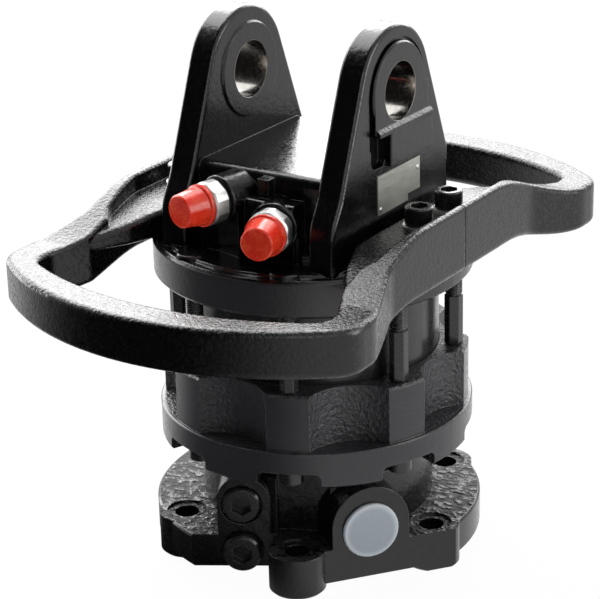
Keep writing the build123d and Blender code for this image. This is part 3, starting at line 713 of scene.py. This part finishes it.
studio = {
    "floorRadius": 7.0,
    "floorDrop": 0.5,
    "floorColour": (0.80, 0.80, 0.80),
    "whiteShare": 0.97,
    "worldColour": (0.15, 0.15, 0.155),
    "darkTurn": -114.0,  # degrees, where the dark sector is
    "darkSector": (0.97, 0.40),  # cosine from its middle, dark to bright
    "darkest": 0.02,
    "brightest": 0.95,
    "lampAim": (0.0, 0.0, 0.25),
}


# Brightness that glossy paint sees around it: white, with a dark sector in front
def mirrorLight(tree, x, y):
    turn = math.radians(studio["darkTurn"])
    along = mathNode(tree, "ADD", multiply(tree, x, math.cos(turn)),
                     multiply(tree, y, math.sin(turn)))
    length = mathNode(tree, "MAXIMUM", distanceTo(tree, x, y), 0.001)  # never zero
    share = mathNode(tree, "DIVIDE", along, length)
    return rampNode(tree, share, *studio["darkSector"], studio["darkest"], studio["brightest"])


def mirrorRay(tree, path):
    return mathNode(tree, "MAXIMUM", path.outputs["Is Glossy Ray"],
                    path.outputs["Is Transmission Ray"])


# White to the camera, a mirrored studio to glossy paint, and a plain floor to everything else
def makeFloor():
    mesh = bpy.data.meshes.new("studioFloor")
    work = bmesh.new()
    bmesh.ops.create_circle(work, cap_ends=True, segments=96, radius=studio["floorRadius"])
    bmesh.ops.translate(work, verts=work.verts, vec=(0.0, 0.0, -studio["floorDrop"] * mm))
    work.to_mesh(mesh)
    work.free()
    floor = bpy.data.objects.new("studioFloor", mesh)
    bpy.context.scene.collection.objects.link(floor)
    material, tree, shader = newMaterial("floorWhite", {
        "Roughness": 0.7, "Specular IOR Level": 0.2, "Base Color": (*studio["floorColour"], 1.0)})
    out = shader.outputs[0].links[0].to_node
    path = tree.nodes.new("ShaderNodeLightPath")
    x, y, z = splitAxes(tree, objectPlace(tree))
    white = addNode(tree, "ShaderNodeEmission", {"Strength": 1.0})
    mirrored = tree.nodes.new("ShaderNodeEmission")
    connect(tree, mirrored, {"Strength": mirrorLight(tree, x, y)})
    whiteness = multiply(tree, path.outputs["Is Camera Ray"], studio["whiteShare"])
    seen = mixShader(tree, whiteness, shader, white)
    mix = mixShader(tree, mirrorRay(tree, path), seen, mirrored)
    tree.links.new(mix.outputs[0], out.inputs["Surface"])
    mesh.materials.append(material)


def makeWorld():
    world = bpy.data.worlds.new("studioWorld")
    bpy.context.scene.world = world
    world.use_nodes = True
    tree = world.node_tree
    tree.nodes.clear()
    out = tree.nodes.new("ShaderNodeOutputWorld")
    plain = addNode(tree, "ShaderNodeBackground", {
        "Color": (*studio["worldColour"], 1.0), "Strength": 1.0})
    pureWhite = {"Color": (1.0, 1.0, 1.0, 1.0), "Strength": 1.0}
    white = addNode(tree, "ShaderNodeBackground", pureWhite)
    mirrored = addNode(tree, "ShaderNodeBackground", pureWhite)
    path = tree.nodes.new("ShaderNodeLightPath")
    x, y, z = splitAxes(tree, tree.nodes.new("ShaderNodeTexCoord").outputs["Generated"])
    connect(tree, mirrored, {"Strength": mirrorLight(tree, x, y)})
    glossy = mixShader(tree, mirrorRay(tree, path), plain, mirrored)
    mix = mixShader(tree, path.outputs["Is Camera Ray"], glossy, white)
    tree.links.new(mix.outputs[0], out.inputs["Surface"])


# Places and sizes in metres
lamps = {
    "overheadBack": {"at": (-1.0, 2.2, 1.5), "size": (4.4, 1.7), "watts": 135.0},
    "overhead": {"at": (-1.0, 0.75, 2.0), "size": (1.9, 1.9), "watts": 55.0},
    "rightSide": {"at": (2.0, 0.5, 0.8), "size": (1.0, 1.6), "watts": 22.0},
    "leftRim": {"at": (-1.7, 0.2, 0.7), "size": (0.8, 1.6), "watts": 18.0},
    "frontFill": {"at": (1.2, -1.9, 1.5), "size": (0.8, 0.8), "watts": 3.0},
}


def makeLamps():
    aim = Vector(studio["lampAim"])
    for name, look in lamps.items():
        data = bpy.data.lights.new(name, "AREA")
        data.shape = "RECTANGLE"
        data.size, data.size_y = look["size"]
        data.energy = look["watts"]
        lamp = bpy.data.objects.new(name, data)
        lamp.location = look["at"]
        lamp.rotation_euler = (Vector(look["at"]) - aim).to_track_quat("Z", "Y").to_euler()
        bpy.context.scene.collection.objects.link(lamp)


# Solved from the photograph: place in metres, turns in degrees
view = {
    "at": (0.94672, -1.44893, 0.89149),
    "azimuth": 33.588,
    "elevation": 21.234,
    "roll": -1.489,
    "lens": 125.516,
    "sensor": 36.0,
}


def makeCamera():
    azimuth, elevation, roll = (math.radians(view[k]) for k in ("azimuth", "elevation", "roll"))
    back = Vector((math.sin(azimuth) * math.cos(elevation),
                   -math.cos(azimuth) * math.cos(elevation), math.sin(elevation)))
    right = Vector((math.cos(azimuth), math.sin(azimuth), 0.0))
    up = back.cross(right)
    rolledRight = math.cos(roll) * right + math.sin(roll) * up
    rolledUp = -math.sin(roll) * right + math.cos(roll) * up
    data = bpy.data.cameras.new("photoCamera")
    data.lens = view["lens"]
    data.sensor_fit = "HORIZONTAL"
    data.sensor_width = view["sensor"]
    camera = bpy.data.objects.new("photoCamera", data)
    turn = Matrix((rolledRight, rolledUp, back)).transposed().to_4x4()
    camera.matrix_world = Matrix.Translation(Vector(view["at"])) @ turn
    bpy.context.scene.collection.objects.link(camera)
    bpy.context.scene.camera = camera


makeFloor()
makeWorld()
makeLamps()
makeCamera()
bpy.context.scene.view_settings.view_transform = "Standard"
print("rotator: studio ready")
